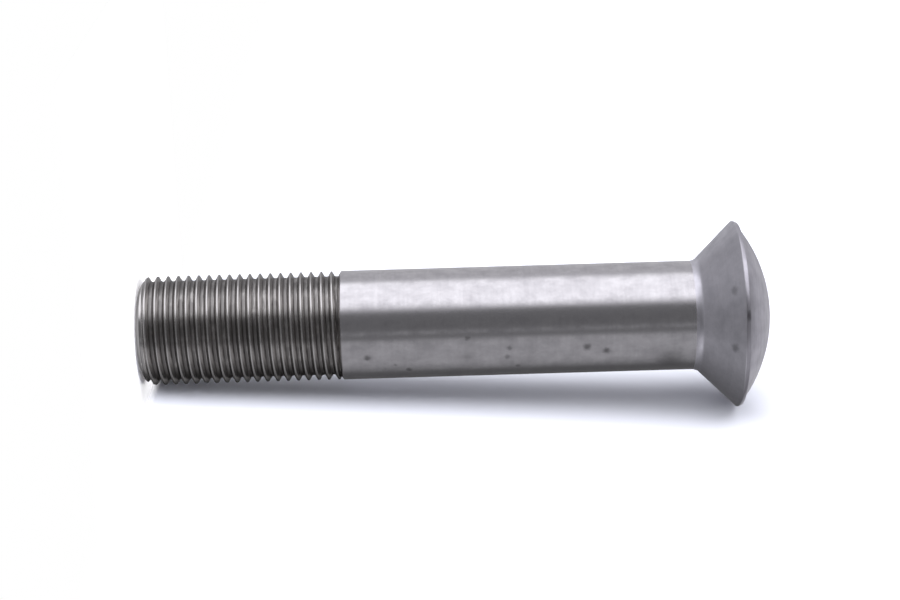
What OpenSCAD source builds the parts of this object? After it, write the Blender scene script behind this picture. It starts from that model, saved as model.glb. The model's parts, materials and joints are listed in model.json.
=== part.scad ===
// Shock absorber bolt: a plain round shank with a fine right-hand thread at one
// end and a domed head with a conical seat at the other, turned in one piece.
// It is round all over and rolls if laid down, so it stands on its thread end.
// Lengths are in millimetres and angles in degrees. The floor is z = 0, and the
// bolt's own axis is the z axis.

/* [Shank] */
// Diameter of the plain shank
shank_d = 16; // [12:0.5:20]
// Length of the plain shank, from the thread to the corner under the head
shank_len = 51.9; // [20:0.1:120]
// Radius of the fillet between shank and seat cone
neck_fillet = 1.5; // [0.5:0.1:3]

/* [Thread] */
// Pitch of the thread
thread_pitch = 1.5; // [1.25:0.25:2]
// Length of the thread, from the end face to the edge of the shank
thread_len = 29.5; // [12:0.5:60]
// Depth of the thread crests below the surface of the shank
crest_drop = 0.02; // [0.02:0.01:0.3]
// Length of the chamfer at the end, measured along the axis
end_chamfer = 1.5; // [0.5:0.1:2]
// Depth of the end face's edge below the root of the thread
end_drop = 1.1; // [0:0.1:2]
// Angle round the axis at which the thread starts, from +X
thread_start = 10; // [0:10:350]
// Flats round one turn of the thread
thread_sides = 36; // [24:4:48]

/* [Head] */
// Largest diameter of the head, at the wide end of the seat cone
head_d = 27.4; // [25:0.1:36]
// Length of the seat cone, measured along the axis
seat_len = 5.8; // [3:0.1:10]
// Width of the narrow land round the edge of the head
land_w = 0.6; // [0.2:0.1:1.5]
// Amount by which the land's radius falls towards the dome
land_taper = 0.25; // [0:0.05:0.5]
// Width of the flat ring between the land and the dome
ring_w = 0.5; // [0.2:0.05:1.5]
// Height of the dome above the flat ring
dome_h = 4.5; // [1:0.1:8]

/* [Hidden] */
$fn = 96;

// Angle of the thread's flanks to a plane square to the axis
flank_angle = 30;
// Depth of the thread and width of its crest, as shares of the pitch
depth_share = 0.5;
crest_share = 0.125;

shank_r = shank_d / 2;
head_r = head_d / 2;

crest_r = shank_r - crest_drop;
thread_depth = depth_share * thread_pitch;
root_r = crest_r - thread_depth;
end_r = root_r - end_drop;
flank_len = thread_depth * tan(flank_angle);
crest_w = crest_share * thread_pitch;

// Heights above the end face
neck_z = thread_len + shank_len;
land_z = neck_z + seat_len;
dome_z = land_z + land_w;

dome_base_r = head_r - land_taper - ring_w;
dome_r = (pow(dome_base_r, 2) + pow(dome_h, 2)) / (2 * dome_h);
dome_centre_z = dome_z + dome_h - dome_r;

// The shoulder where the thread runs out has the slope of a flank, and starts
// inside the thread's core
shoulder_r = root_r - thread_depth / 4;
shoulder_z = thread_len - (shank_r - shoulder_r) * tan(flank_angle);

// The fillet touches the shank and the cone at the same distance from the corner
seat_angle = atan((head_r - shank_r) / seat_len);
fillet_reach = neck_fillet * tan(seat_angle / 2);

// Radius of the end chamfer's cone at height z
function chamfer_r(z) = end_r + (crest_r - end_r) * z / end_chamfer;

// Half outline of the shank and the head, with true arcs at neck and dome
module turned_outline() {
    polygon([
        [0, shoulder_z],
        [shoulder_r, shoulder_z],
        [shank_r, thread_len],
        [shank_r, neck_z],
        [head_r, land_z],
        [head_r - land_taper, dome_z],
        [0, dome_z]
    ]);
    difference() {
        polygon([
            [shank_r, neck_z - fillet_reach],
            [shank_r, neck_z],
            [shank_r + fillet_reach * sin(seat_angle), neck_z + fillet_reach * cos(seat_angle)]
        ]);
        translate([shank_r + neck_fillet, neck_z - fillet_reach])
            circle(r = neck_fillet);
    }
    intersection() {
        translate([0, dome_centre_z]) circle(r = dome_r);
        translate([0, dome_z - land_w / 2]) square([dome_base_r, dome_h + land_w]);
    }
}

// The threaded length as one closed body: a column of four profile points at
// each step round the helix, pulled in to the chamfer near the end face. Its
// top lies inside the shank.
module thread_body() {
    profile = [
        [0, root_r],
        [flank_len, crest_r],
        [flank_len + crest_w, crest_r],
        [2 * flank_len + crest_w, root_r]
    ];
    rows = len(profile);
    rear = rows - 1;
    sides = thread_sides;
    step_z = thread_pitch / sides;
    steps = ceil(thread_len / step_z);
    last = steps - sides;
    top_z = steps * step_z + thread_pitch;

    function spot(r, k, z) = [r * cos(360 * k / sides), r * sin(360 * k / sides), z];
    function at(k, row) = k * rows + row;
    base = at(steps + 1, 0);
    top = base + sides;
    function base_at(k) = k % sides == 0 ? at(0, 0) : base + k;
    function top_at(k) = top + (k - last) % sides;

    points = concat(
        [for (k = [0:steps], p = profile)
            let (z = k * step_z + p[0])
            spot(min(p[1], chamfer_r(z)), k, z)],
        [for (k = [0:sides - 1]) spot(end_r, k, 0)],
        [for (k = [0:sides - 1]) spot(root_r, k + steps, top_z)]
    );
    function wall(a, b, c, d) = [[a, b, c], [a, c, d]];
    ridge = [for (k = [0:steps - 1], row = [0:rear - 1])
        each wall(at(k, row), at(k, row + 1), at(k + 1, row + 1), at(k + 1, row))];
    root = [for (k = [0:last - 1])
        each wall(at(k, rear), at(k + sides, 0), at(k + sides + 1, 0), at(k + 1, rear))];
    foot = [for (k = [1:sides - 1])
        each wall(base_at(k), at(k, 0), at(k + 1, 0), base_at(k + 1))];
    neck = [for (k = [last + 1:steps - 1])
        each wall(at(k, rear), top_at(k), top_at(k + 1), at(k + 1, rear))];
    ends = [
        [at(0, 0), at(1, 0), base_at(1)],
        [at(sides, 0), for (row = [rear:-1:0]) at(0, row)],
        [at(last + 1, rear), at(last, rear), at(steps, 0),
            at(steps, rear), top_at(last), top_at(last + 1)],
        [for (row = [0:rear]) at(steps, row)],
        [for (k = [0:sides - 1]) base_at(k)],
        [for (k = [sides - 1:-1:0]) top_at(k + last)]
    ];
    polyhedron(points, concat(ridge, root, foot, neck, ends));
}

// The bolt on its end face. The turned body's seam lies half a flat away from
// the thread's corners.
module bolt() {
    color([0.60, 0.60, 0.62]) {
        rotate([0, 0, 180 / thread_sides]) rotate_extrude() turned_outline();
        rotate([0, 0, thread_start]) thread_body();
    }
}

bolt();
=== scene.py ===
import json
import math

import bmesh
import bpy
from mathutils import Euler, Matrix, Vector


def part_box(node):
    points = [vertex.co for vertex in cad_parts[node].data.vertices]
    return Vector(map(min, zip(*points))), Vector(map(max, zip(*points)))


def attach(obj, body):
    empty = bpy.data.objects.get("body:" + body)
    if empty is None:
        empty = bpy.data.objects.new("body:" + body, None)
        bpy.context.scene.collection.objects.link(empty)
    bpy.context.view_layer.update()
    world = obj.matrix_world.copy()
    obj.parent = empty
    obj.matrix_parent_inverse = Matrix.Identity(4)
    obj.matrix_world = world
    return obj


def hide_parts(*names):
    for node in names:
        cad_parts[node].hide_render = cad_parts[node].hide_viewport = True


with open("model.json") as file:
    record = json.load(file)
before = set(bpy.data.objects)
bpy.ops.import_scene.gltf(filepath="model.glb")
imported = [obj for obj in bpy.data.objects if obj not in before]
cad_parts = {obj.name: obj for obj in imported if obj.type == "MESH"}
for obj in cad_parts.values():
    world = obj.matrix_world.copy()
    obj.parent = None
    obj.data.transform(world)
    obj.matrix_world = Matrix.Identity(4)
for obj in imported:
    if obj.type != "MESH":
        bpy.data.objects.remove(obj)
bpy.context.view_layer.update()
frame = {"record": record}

# The thread: fine and right-hand, cut in the same bar as the shank, its crests a
# little below the shank. One turn of the groove is swept up the helix, repeated,
# and drawn in to a rounded chamfer at the end and to a shoulder at the shank.
MM = 0.001
mounts = {mount["name"]: mount for mount in frame["record"]["mounts"]}
shank_radius = mounts["shank"]["dims"]["r_mm"] * MM
shank_middle = mounts["shank"]["pos_m"][2]
thread_top = shank_middle - mounts["shank"]["dims"]["length_mm"] * MM / 2

PITCH = 1.5 * MM
DEPTH_SHARE = 0.5
CREST_SHARE = 0.125
FLANK_SLOPE = math.tan(math.radians(30))
THREAD_START = math.radians(10)
CREST_DROP = 0.02 * MM
CREST_ROUND = 0.035 * MM
ROOT_ROUND = 0.11 * MM
crest_radius = shank_radius - CREST_DROP
groove_depth = DEPTH_SHARE * PITCH
root_radius = crest_radius - groove_depth
flank_rise = groove_depth * FLANK_SLOPE
crest_width = CREST_SHARE * PITCH
root_half = (PITCH - crest_width) / 2 - flank_rise

CHAMFER_LENGTH = 1.5 * MM
CHAMFER_BULGE = 2
CHAMFER_RINGS = 8
END_DROP = 1.1 * MM
SHOULDER_BREAK = 0.12 * MM
end_radius = root_radius - END_DROP
shank_start = thread_top + SHOULDER_BREAK

# Steps round the axis, and how near two points are when they are made one
STEPS = 96
FLANK_CUTS = 4
MERGE = 0.001 * MM


def chain(mesh, points):
    corners = [mesh.verts.new((radius, 0, height)) for radius, height in points]
    for lower, upper in zip(corners, corners[1:]):
        mesh.edges.new((lower, upper))
    return corners


def round_corners(mesh, corners, size, segments):
    bmesh.ops.bevel(mesh, geom=corners, offset=size, offset_type="OFFSET", segments=segments,
                    profile=0.5, affect="VERTICES", material=-1)


def turn(mesh, rise, closed):
    bmesh.ops.rotate(mesh, verts=mesh.verts[:], cent=(0, 0, 0),
                     matrix=Matrix.Rotation(THREAD_START, 3, "Z"))
    bmesh.ops.spin(mesh, geom=mesh.verts[:] + mesh.edges[:], cent=(0, 0, 0), axis=(0, 0, 1),
                   dvec=(0, 0, rise / STEPS), angle=math.tau, steps=STEPS,
                   use_merge=closed, use_duplicate=False)


def cut(mesh, height, above=False, below=False):
    bmesh.ops.bisect_plane(mesh, geom=mesh.verts[:] + mesh.edges[:] + mesh.faces[:],
                           dist=MERGE / 10, plane_co=(0, 0, height), plane_no=(0, 0, 1),
                           clear_outer=above, clear_inner=below)


def thread_limit(level, radius):
    if level < CHAMFER_LENGTH:
        to_face = 1 - max(level, 0) / CHAMFER_LENGTH
        return min(radius, crest_radius - (crest_radius - end_radius) * to_face ** CHAMFER_BULGE)
    if level < thread_top:
        return max(radius, shank_radius - SHOULDER_BREAK - (thread_top - level) / FLANK_SLOPE)
    return shank_radius - (shank_start - level)


steel = bmesh.new()
groove = chain(steel, [
    (root_radius, -PITCH - root_half),
    (root_radius, -PITCH),
    (crest_radius, -PITCH + flank_rise),
    (crest_radius, -PITCH + flank_rise + crest_width),
    (root_radius, -PITCH + 2 * flank_rise + crest_width),
    (root_radius, -root_half),
])
round_corners(steel, groove[2:4], CREST_ROUND, 2)
round_corners(steel, [groove[1], groove[4]], ROOT_ROUND, 3)
flanks = [edge for edge in steel.edges if edge.calc_length() > groove_depth / 2]
bmesh.ops.subdivide_edges(steel, edges=flanks, cuts=FLANK_CUTS)
turn(steel, PITCH, closed=False)
one_turn = steel.verts[:] + steel.edges[:] + steel.faces[:]
for count in range(1, math.ceil(thread_top / PITCH) + 3):
    copy = bmesh.ops.duplicate(steel, geom=one_turn)["geom"]
    copied_verts = [item for item in copy if isinstance(item, bmesh.types.BMVert)]
    bmesh.ops.translate(steel, verts=copied_verts, vec=(0, 0, count * PITCH))
bmesh.ops.remove_doubles(steel, verts=steel.verts[:], dist=MERGE)
cut(steel, 0, below=True)
for ring in range(1, CHAMFER_RINGS + 1):
    cut(steel, CHAMFER_LENGTH * ring / CHAMFER_RINGS)
cut(steel, thread_top)
cut(steel, shank_start, above=True)
for vert in steel.verts:
    vert.co.xy *= thread_limit(vert.co.z, vert.co.xy.length) / vert.co.xy.length

# The top ring keeps one point for each step round the axis, to meet the shank.
columns = {}
spare = []
for vert in [v for v in steel.verts if v.is_boundary and v.co.z > thread_top]:
    column = (math.atan2(vert.co.y, vert.co.x) - THREAD_START) / math.tau * STEPS
    if abs(column - round(column)) < 0.001:
        columns[round(column) % STEPS] = vert
    else:
        spare.append((vert, round(column) % STEPS))
bmesh.ops.weld_verts(steel, targetmap={vert: columns[column] for vert, column in spare})

# The shank, the neck under the head and the head itself: turned from the same
# bar in one setting. Half the outline is drawn, its corners are broken or
# filleted, and it is spun round the axis on to the end of the thread.
SHANK_LENGTH = 51.9 * MM
NECK_FILLET = 1.5 * MM
HEAD_DIAMETER = 27.4 * MM
SEAT_LENGTH = 5.8 * MM
LAND_WIDTH = 0.6 * MM
LAND_TAPER = 0.25 * MM
RING_WIDTH = 0.5 * MM
RING_INSET = 0.1 * MM
EDGE_BREAK = 0.09 * MM
EDGE_MARGIN = 0.25 * MM
DOME_RINGS = 28
head_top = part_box("bolt")[1].z
head_radius = HEAD_DIAMETER / 2
neck_height = thread_top + SHANK_LENGTH
seat_top = neck_height + SEAT_LENGTH
seat_angle = math.atan((head_radius - shank_radius) / SEAT_LENGTH)
fillet_reach = NECK_FILLET * math.tan(seat_angle / 2)
across_margin = math.sin(seat_angle) * EDGE_MARGIN
along_margin = math.cos(seat_angle) * EDGE_MARGIN
dome_foot = seat_top + LAND_WIDTH
dome_base = head_radius - LAND_TAPER - RING_WIDTH
dome_height = head_top - dome_foot
dome_radius = (dome_base ** 2 + dome_height ** 2) / (2 * dome_height)
dome_angle = math.asin(dome_base / dome_radius)


def dome_point(share):
    angle = dome_angle * share
    return dome_radius * math.sin(angle), head_top - dome_radius * (1 - math.cos(angle))


head = bmesh.new()
outline = chain(head, [
    (shank_radius, shank_start),
    (shank_radius, shank_start + EDGE_MARGIN),
    (shank_radius, shank_middle),
    (shank_radius, neck_height - fillet_reach - EDGE_MARGIN),
    (shank_radius, neck_height),
    (shank_radius + across_margin * 4, neck_height + along_margin * 4),
    (head_radius - across_margin, seat_top - along_margin),
    (head_radius, seat_top),
    (head_radius - LAND_TAPER, dome_foot),
    (dome_base + RING_INSET, dome_foot),
] + [dome_point(1 - ring / DOME_RINGS) for ring in range(DOME_RINGS + 1)])
round_corners(head, outline[4:5], fillet_reach, 8)
round_corners(head, outline[7:9], EDGE_BREAK, 2)
turn(head, 0, closed=True)
bmesh.ops.remove_doubles(head, verts=head.verts[:], dist=MERGE)
turned = bpy.data.meshes.new("turned")
head.to_mesh(turned)
head.free()
steel.from_mesh(turned)
bpy.data.meshes.remove(turned)
open_verts = [vert for vert in steel.verts if vert.is_boundary]
bmesh.ops.remove_doubles(steel, verts=open_verts, dist=2 * MERGE)
foot = [edge for edge in steel.edges if edge.is_boundary]
bmesh.ops.edgeloop_fill(steel, edges=foot)
bmesh.ops.recalc_face_normals(steel, faces=steel.faces[:])

THREAD, SHANK, SEAT, DOME, END = range(5)
SHARP_ANGLE = math.radians(32)
for face in steel.faces:
    height = face.calc_center_median().z
    face.smooth = True
    if len(face.verts) > STEPS / 2:
        face.material_index = END
    elif height < thread_top:
        face.material_index = THREAD
    elif height < neck_height - fillet_reach:
        face.material_index = SHANK
    elif height < seat_top:
        face.material_index = SEAT
    else:
        face.material_index = DOME
for edge in steel.edges:
    if len(edge.link_faces) == 2 and edge.calc_face_angle() > SHARP_ANGLE:
        edge.smooth = False

bolt_mesh = bpy.data.meshes.new("bolt_steel")
steel.to_mesh(bolt_mesh)
steel.free()
bolt = bpy.data.objects.new("bolt_steel", bolt_mesh)
bpy.context.scene.collection.objects.link(bolt)
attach(bolt, "root")
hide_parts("bolt")

# The steel is bare and a little worn. Each surface has its own finish, drawn on
# the bolt's own coordinates, in the order of the numbers above: the thread, the
# shank, the seat, the dome and the end face.


def add(tree, kind, inputs, **settings):
    node = tree.nodes.new(kind)
    for name, value in settings.items():
        setattr(node, name, value)
    for socket, value in inputs.items():
        if isinstance(value, bpy.types.NodeSocket):
            tree.links.new(value, node.inputs[socket])
        else:
            node.inputs[socket].default_value = value
    return node


def calc(tree, operation, *values):
    return add(tree, "ShaderNodeMath", dict(enumerate(values)), operation=operation).outputs[0]


def fade(tree, value, start, end, low, high):
    return add(tree, "ShaderNodeMapRange", {
        "Value": value, "From Min": start, "From Max": end, "To Min": low, "To Max": high,
    }, interpolation_type="SMOOTHSTEP").outputs[0]


def tones(tree, value, stops):
    ramp = add(tree, "ShaderNodeValToRGB", {0: value})
    elements = ramp.color_ramp.elements
    for position, tone in stops[2:]:
        elements.new(position)
    for element, (position, tone) in zip(elements, stops):
        element.position = position
        element.color = (*tone, 1)
    return ramp.outputs[0]


def split(tree, vector):
    return add(tree, "ShaderNodeSeparateXYZ", {0: vector}).outputs


def noise(tree, place, scale, detail):
    stretched = add(tree, "ShaderNodeMapping", {"Vector": place, "Scale": scale}).outputs[0]
    return add(tree, "ShaderNodeTexNoise", {
        "Vector": stretched, "Scale": 1, "Detail": detail, "Roughness": 0.6,
    }).outputs[0]


def from_axis(tree, place):
    flat = add(tree, "ShaderNodeMapping", {"Vector": place, "Scale": (1, 1, 0)}).outputs[0]
    return add(tree, "ShaderNodeVectorMath", {0: flat}, operation="LENGTH").outputs["Value"]


def rings(tree, distance, scale):
    return add(tree, "ShaderNodeTexNoise", {
        "W": calc(tree, "MULTIPLY", distance, scale), "Scale": 1, "Detail": 2,
    }, noise_dimensions="1D").outputs[0]


def mix_marks(tree, marks, blotches, marks_share):
    rest = calc(tree, "MULTIPLY", blotches, 1 - marks_share)
    return calc(tree, "MULTIPLY_ADD", marks, marks_share, rest)


def mottled(tree, mottle, dark, bright):
    return tones(tree, mottle, [(0.34, dark), (0.66, bright)])


def paint(tree, shader, colour, strength):
    scaled = add(tree, "ShaderNodeVectorMath", {0: colour, "Scale": strength}, operation="SCALE")
    tree.links.new(scaled.outputs[0], shader.inputs["Base Color"])


def gloss(tree, shader, mottle, dull, bright):
    tree.links.new(fade(tree, mottle, 0.3, 0.7, dull, bright), shader.inputs["Roughness"])


def bump(tree, shader, height, depth):
    relief = add(tree, "ShaderNodeBump", {"Strength": 1, "Distance": depth, "Height": height})
    tree.links.new(relief.outputs[0], shader.inputs["Normal"])


def finish(name):
    material = bpy.data.materials.new(name)
    material.use_nodes = True
    tree = material.node_tree
    shader = tree.nodes["Principled BSDF"]
    shader.inputs["Metallic"].default_value = 1
    place = add(tree, "ShaderNodeTexCoord", {}).outputs["Object"]
    bolt_mesh.materials.append(material)
    return tree, shader, place


# In the thread, oil and dirt darken the roots and leave the crests bright. How
# deep a point lies is measured from the crests, or from the chamfer. Shade and
# light are painted on the flanks: those towards the head are darker, those
# towards the end lighter. The side towards the sheet has painted shade: its
# steel is a little darker and its low-angle reflections are darker.
CREST_STEEL = (0.53, 0.518, 0.514)
FLANK_STEEL = (0.45, 0.438, 0.432)
RUBBED_STEEL = (0.53, 0.515, 0.505)
OILED_ROOT = (0.21, 0.204, 0.2)
FACING = 0.6

tree, shader, place = finish("oiled_thread")
parts = split(tree, place)
across = parts["X"]
height = parts["Z"]
# Painted shade: low-angle reflections are darkened on the side towards the sheet, where the
# shadow lies.
painted_underside_reflection = fade(tree, across, start=2 * MM, end=7 * MM, low=0.6, high=0.15)
tree.links.new(painted_underside_reflection, shader.inputs["Specular Tint"])
cleared = fade(tree, height, 0, CHAMFER_LENGTH, end_radius, crest_radius)
depth = calc(tree, "SUBTRACT", cleared, from_axis(tree, place))
blotches = noise(tree, place, scale=(350, 350, 250), detail=3)
streaks = noise(tree, place, scale=(500, 500, 2500), detail=2)
grime = calc(tree, "MULTIPLY_ADD", calc(tree, "ADD", blotches, streaks), 0.5, -0.5)
facing = split(tree, add(tree, "ShaderNodeNewGeometry", {}).outputs["Normal"])["Z"]
# Painted shade: flanks towards the head are pushed to the darker tones, flanks towards the end
# away from them.
painted_flank_shade_shift = fade(tree, facing, -FACING, FACING, low=-0.07, high=0.08)
grime_and_flank_shade = calc(tree, "ADD", grime, painted_flank_shade_shift)
share = calc(tree, "ADD", calc(tree, "DIVIDE", depth, groove_depth), grime_and_flank_shade)
dirt_and_flank_shade = tones(tree, share, [
    (0, CREST_STEEL), (0.25, FLANK_STEEL), (0.75, RUBBED_STEEL), (1, OILED_ROOT),
])
# Painted shade and light: flanks towards the head get darker steel, flanks towards the end
# lighter steel.
painted_flank_shade = fade(tree, facing, -FACING, FACING, low=1.42, high=0.82)
# Painted shade: the steel on the side towards the sheet, where the shadow lies, is a little
# darker.
painted_underside_shade = fade(tree, across, start=-4 * MM, end=6 * MM, low=1.035, high=0.965)
paint(tree, shader, dirt_and_flank_shade, calc(tree, "MULTIPLY", painted_flank_shade, painted_underside_shade))
tree.links.new(fade(tree, share, 0, 1, low=0.2, high=0.28), shader.inputs["Roughness"])
bump(tree, shader, streaks, depth=0.004 * MM)

# The shank is ground: fine marks run round it, between soft blotches, and a few
# small dark pits are left in it. A pit is given by its height, its angle from +Y
# towards -X, its radius and how dark it is.
PITS = [
    (33.3, 197, 0.42, 0.55), (37.3, 208, 0.25, 0.3), (39.2, 216.5, 0.36, 0.5),
    (47.8, 177, 0.32, 0.4), (47.6, 199, 0.6, 0.18), (53.8, 189.6, 0.32, 0.4),
    (53.5, 200.5, 0.36, 0.35), (55.0, 215, 0.3, 0.3), (65.0, 191, 0.45, 0.55),
    (67.8, 196, 0.42, 0.55), (77.3, 211, 1.6, 0.4), (44.1, 20, 0.4, 0.45),
    (70.3, 48, 0.34, 0.4), (36.2, 291, 0.4, 0.45), (59.5, 322, 0.5, 0.5),
    (74.9, 274, 0.3, 0.4),
]
RAGGED_SCALE = 2200
RAGGED_REACH = 0.5 * MM


def bearing(angle, lift=0):
    level = Vector((0, math.cos(math.radians(lift)), math.sin(math.radians(lift))))
    return Matrix.Rotation(math.radians(angle), 3, "Z") @ level


def spots(tree, place, out, marks):
    wander = add(tree, "ShaderNodeTexNoise", {
        "Vector": place, "Scale": RAGGED_SCALE, "Detail": 2,
    }).outputs["Color"]
    ragged = add(tree, "ShaderNodeVectorMath", {
        0: wander, 1: (RAGGED_REACH,) * 3, 2: place,
    }, operation="MULTIPLY_ADD").outputs[0]
    clean = 1
    for rise, angle, radius, dark in marks:
        centre = bearing(angle) * out
        centre.z = rise * MM
        apart = add(tree, "ShaderNodeVectorMath", {
            0: ragged, 1: centre + Vector((RAGGED_REACH / 2,) * 3),
        }, operation="DISTANCE").outputs["Value"]
        mark = fade(tree, apart, 0.2 * radius * MM, 1.9 * radius * MM, 1 - dark, 1)
        clean = calc(tree, "MULTIPLY", clean, mark)
    return clean


tree, shader, place = finish("ground_shank")
blotches = noise(tree, place, scale=(520, 520, 380), detail=4)
marks = noise(tree, place, scale=(150, 150, 1800), detail=3)
unevenness = noise(tree, place, scale=(160, 160, 240), detail=2)
mottle = mix_marks(tree, marks, blotches, marks_share=0.2)
surface = mottled(tree, mottle, dark=(0.52, 0.51, 0.535), bright=(0.68, 0.67, 0.695))
paint(tree, shader, surface, spots(tree, place, shank_radius, PITS))
gloss(tree, shader, mottle, dull=0.27, bright=0.18)
bump(tree, shader, unevenness, depth=0.012 * MM)

# The seat is turned and duller than the shank, with two small stains, and its
# fillet at the neck is painted brighter steel, a painted highlight along the neck.
# A stain is given as a pit is.
SEAT_STAINS = [(85.8, 144, 0.5, 0.35), (85.7, 183, 0.55, 0.45)]
STAIN_OUT = 12.25 * MM
FILLET_HIGHLIGHT_START = 0.2 * MM
FILLET_HIGHLIGHT_END = 0.6 * MM

tree, shader, place = finish("turned_seat")
height = split(tree, place)["Z"]
# Painted highlight: the steel at the neck fillet is made brighter.
fillet_painted_highlight = fade(tree, height, neck_height + FILLET_HIGHLIGHT_START, neck_height + FILLET_HIGHLIGHT_END,
               low=1.2, high=1)
blotches = noise(tree, place, scale=(420, 420, 420), detail=3)
marks = noise(tree, place, scale=(60, 60, 2600), detail=2)
mottle = mix_marks(tree, marks, blotches, marks_share=0.2)
surface = mottled(tree, mottle, dark=(0.51, 0.507, 0.555), bright=(0.65, 0.642, 0.7))
clean = spots(tree, place, STAIN_OUT, SEAT_STAINS)
paint(tree, shader, surface, calc(tree, "MULTIPLY", fillet_painted_highlight, clean))
gloss(tree, shader, mottle, dull=0.42, bright=0.32)
bump(tree, shader, marks, depth=0.001 * MM)

# The land and the dome have faint rings round the axis, closer and smoother than
# the marks on the seat, and one stain on the land.
LAND_STAINS = [(87.5, 161, 0.6, 0.5)]
LAND_STAIN_OUT = 13.6 * MM

tree, shader, place = finish("turned_dome")
blotches = noise(tree, place, scale=(380, 380, 380), detail=3)
circles = rings(tree, from_axis(tree, place), scale=2600)
mottle = mix_marks(tree, circles, blotches, marks_share=0.3)
surface = mottled(tree, mottle, dark=(0.46, 0.45, 0.5), bright=(0.6, 0.59, 0.645))
paint(tree, shader, surface, spots(tree, place, LAND_STAIN_OUT, LAND_STAINS))
gloss(tree, shader, mottle, dull=0.38, bright=0.28)
bump(tree, shader, circles, depth=0.0006 * MM)

# The end face that the bolt stands on is plainly faced off, and its rings are
# coarser and deeper than the dome's.
tree, shader, place = finish("end_face")
circles = rings(tree, from_axis(tree, place), scale=2200)
surface = tones(tree, circles, [(0.3, (0.42, 0.42, 0.42)), (0.7, (0.62, 0.62, 0.62))])
tree.links.new(surface, shader.inputs["Base Color"])
gloss(tree, shader, circles, dull=0.42, bright=0.3)
bump(tree, shader, circles, depth=0.006 * MM)

# The studio: a pale sheet close beside the bolt, leaning with it from the first
# thread to the edge of the head, and a small pale floor under its end. The sheet
# fades out just above the floor. Neither shows in the steel.
LEAN = math.atan((head_radius - crest_radius) / (seat_top - CHAMFER_LENGTH))
SHEET_FADE = 2.2 * MM


def stage_material(name, colour, clear_end):
    material = bpy.data.materials.new(name)
    material.use_nodes = True
    tree = material.node_tree
    tree.nodes.clear()
    paper = add(tree, "ShaderNodeBsdfDiffuse", {"Color": (*colour, 1)})
    clear = add(tree, "ShaderNodeBsdfTransparent", {})
    behind = add(tree, "ShaderNodeNewGeometry", {}).outputs["Backfacing"]
    rise = split(tree, add(tree, "ShaderNodeTexCoord", {}).outputs["Object"])["Z"]
    missing = fade(tree, rise, clear_end, clear_end + SHEET_FADE, low=1, high=0)
    mixed = add(tree, "ShaderNodeMixShader", {
        0: calc(tree, "MAXIMUM", behind, missing), 1: paper.outputs[0], 2: clear.outputs[0],
    })
    add(tree, "ShaderNodeOutputMaterial", {"Surface": mixed.outputs[0]})
    return material


def stage_sheet(name, size, matrix, material):
    sheet = bmesh.new()
    bmesh.ops.create_grid(sheet, x_segments=1, y_segments=1, size=size, matrix=matrix)
    data = bpy.data.meshes.new(name)
    sheet.to_mesh(data)
    sheet.free()
    piece = bpy.data.objects.new(name, data)
    bpy.context.scene.collection.objects.link(piece)
    data.materials.append(material)
    piece.visible_glossy = False
    piece.visible_shadow = False


sheet_paper = stage_material("sheet_paper", (0.62, 0.635, 0.7), clear_end=0.3 * MM)
floor_paper = stage_material("floor_paper", (0.95, 0.95, 0.96), clear_end=-5 * MM)
touch = Matrix.Translation((crest_radius, 0, CHAMFER_LENGTH))
sheet_turn = Matrix.Rotation(LEAN - math.pi / 2, 4, "Y")
stage_sheet("sheet", 0.6, touch @ sheet_turn, sheet_paper)
stage_sheet("floor", 0.05, Matrix.Identity(4), floor_paper)


# Four soft lamps light the sheet and the floor, and throw the bolt's shadow on
# them. The steel doesn't mirror them.
def soft_sun(name, around, lift, softness, energy):
    lamp = bpy.data.lights.new(name, "SUN")
    lamp.energy = energy
    lamp.angle = math.radians(softness)
    holder = bpy.data.objects.new(name, lamp)
    holder.visible_glossy = False
    holder.rotation_euler = bearing(around, lift).to_track_quat("Z", "Y").to_euler()
    bpy.context.scene.collection.objects.link(holder)


soft_sun("right_softbox", around=85, lift=28, softness=70, energy=2.4)
soft_sun("left_softbox", around=100, lift=-25, softness=70, energy=2.3)
soft_sun("back_light", around=35, lift=0, softness=25, energy=0.5)
soft_sun("overhead", around=0, lift=90, softness=30, energy=3.5)

# The world is a dim room with long soft lights beside the bolt, by the angle from
# +Y towards -X: a fill, a softbox with a brighter edge, then weak ones for the far
# side. Each has its angle, its half width, the reach of its soft edge and a level.
ROOM = 0.06
LONG_LIGHTS = [
    (20, 30, 60, 0.55), (82, 12, 38, 1.4), (110, 6, 30, 1.45), (160, 30, 60, 0.11),
    (180, 1, 8, 0.26), (215, 15, 28, 0.38), (238, 10, 60, 0.36),
]
# Past the thread's end the light changes from the side away from the sheet to the
# side towards it, and past the head it is even. Round lights stand past both ends,
# each with its angle, its lift towards the head, its reach and a level.
PAST_THREAD = [
    (0.33, 0.35), (0.48, 0.27), (0.55, 0.25), (0.65, 0.33), (0.76, 0.32), (0.88, 0.13),
]
PAST_HEAD = 0.2
ROUND_LIGHTS = [
    (232, -35, 24, 0.75), (92, -34, 24, 1.4), (326, 38, 36, 0.62), (342, -52, 26, 0.45),
    (235, 46, 30, 0.47),
]
WHITE_SHARE = 0.05


def blend(tree, factor, first, second):
    return add(tree, "ShaderNodeMix", {0: factor, 2: first, 3: second}).outputs[0]


world = bpy.data.worlds.new("studio")
bpy.context.scene.world = world
world.use_nodes = True
tree = world.node_tree
tree.nodes.clear()
direction = add(tree, "ShaderNodeTexCoord", {}).outputs["Generated"]
part = split(tree, direction)
turned_angle = calc(tree, "ARCTAN2", calc(tree, "MULTIPLY", part["X"], -1), part["Y"])
light = ROOM
for angle, half, reach, level in LONG_LIGHTS:
    turned_off = calc(tree, "SUBTRACT", turned_angle, math.radians(angle))
    apart = calc(tree, "ABSOLUTE", calc(tree, "WRAP", turned_off, math.pi, -math.pi))
    strip = fade(tree, apart, math.radians(half), math.radians(reach), level, 0)
    light = calc(tree, "MAXIMUM", light, strip)

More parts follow.
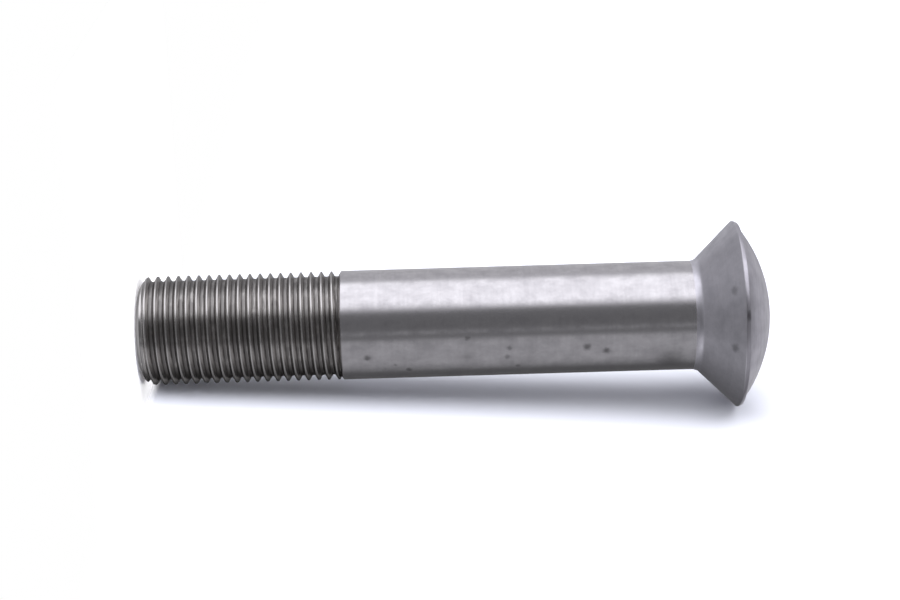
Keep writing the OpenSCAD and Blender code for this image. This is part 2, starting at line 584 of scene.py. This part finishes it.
near_side = fade(tree, part["Y"], start=-0.3, end=-0.55, low=1, high=0.25)
towards_sheet = calc(tree, "MULTIPLY_ADD", part["X"], 0.5, 0.5)
past_thread = tones(tree, towards_sheet, [(spot, (level,) * 3) for spot, level in PAST_THREAD])
past_thread = calc(tree, "MULTIPLY", near_side, past_thread)
light = blend(tree, fade(tree, part["Z"], -0.3, -0.6, 0, 1), light, past_thread)
light = blend(tree, fade(tree, part["Z"], 0.82, 0.95, 0, 1), light, PAST_HEAD)
for angle, lift, reach, level in ROUND_LIGHTS:
    toward = add(tree, "ShaderNodeVectorMath", {
        0: direction, 1: bearing(angle, lift),
    }, operation="DOT_PRODUCT").outputs["Value"]
    rim = math.cos(math.radians(reach))
    core = math.cos(math.radians(reach / 2))
    light = calc(tree, "MAXIMUM", light, fade(tree, toward, rim, core, 0, level))

# What the camera sees of the world is white, and so is a share of what the steel
# mirrors. The rest of what it mirrors is the room.
surround = add(tree, "ShaderNodeBackground", {"Color": (1, 0.99, 1.03, 1), "Strength": light})
white = add(tree, "ShaderNodeBackground", {"Color": (1, 1, 1, 1)})
path = add(tree, "ShaderNodeLightPath", {})
seen = calc(tree, "MAXIMUM", path.outputs["Is Camera Ray"], path.outputs["Is Transmission Ray"])
mirrored = calc(tree, "MULTIPLY", path.outputs["Is Glossy Ray"], WHITE_SHARE)
mixed = add(tree, "ShaderNodeMixShader", {
    0: calc(tree, "MAXIMUM", seen, mirrored), 1: surround.outputs[0], 2: white.outputs[0],
})
add(tree, "ShaderNodeOutputWorld", {"Surface": mixed.outputs[0]})

# The camera looks at the bolt from the side and a little above the sheet, turned
# so that the bolt lies across the picture with its head to the right.
CAMERA_PLACE = (-0.1087, -0.2892, 0.0436)
CAMERA_TURN = (90.37, -20, 88.44)
camera = bpy.data.objects.new("camera", bpy.data.cameras.new("camera"))
camera.data.lens = 83.92
camera.data.sensor_width = 36
camera.data.clip_start = 0.01
camera_turn = Euler([math.radians(angle) for angle in CAMERA_TURN], "ZYX")
camera.matrix_world = Matrix.Translation(CAMERA_PLACE) @ camera_turn.to_matrix().to_4x4()
bpy.context.scene.collection.objects.link(camera)
bpy.context.scene.camera = camera
bpy.context.scene.view_settings.view_transform = "Standard"
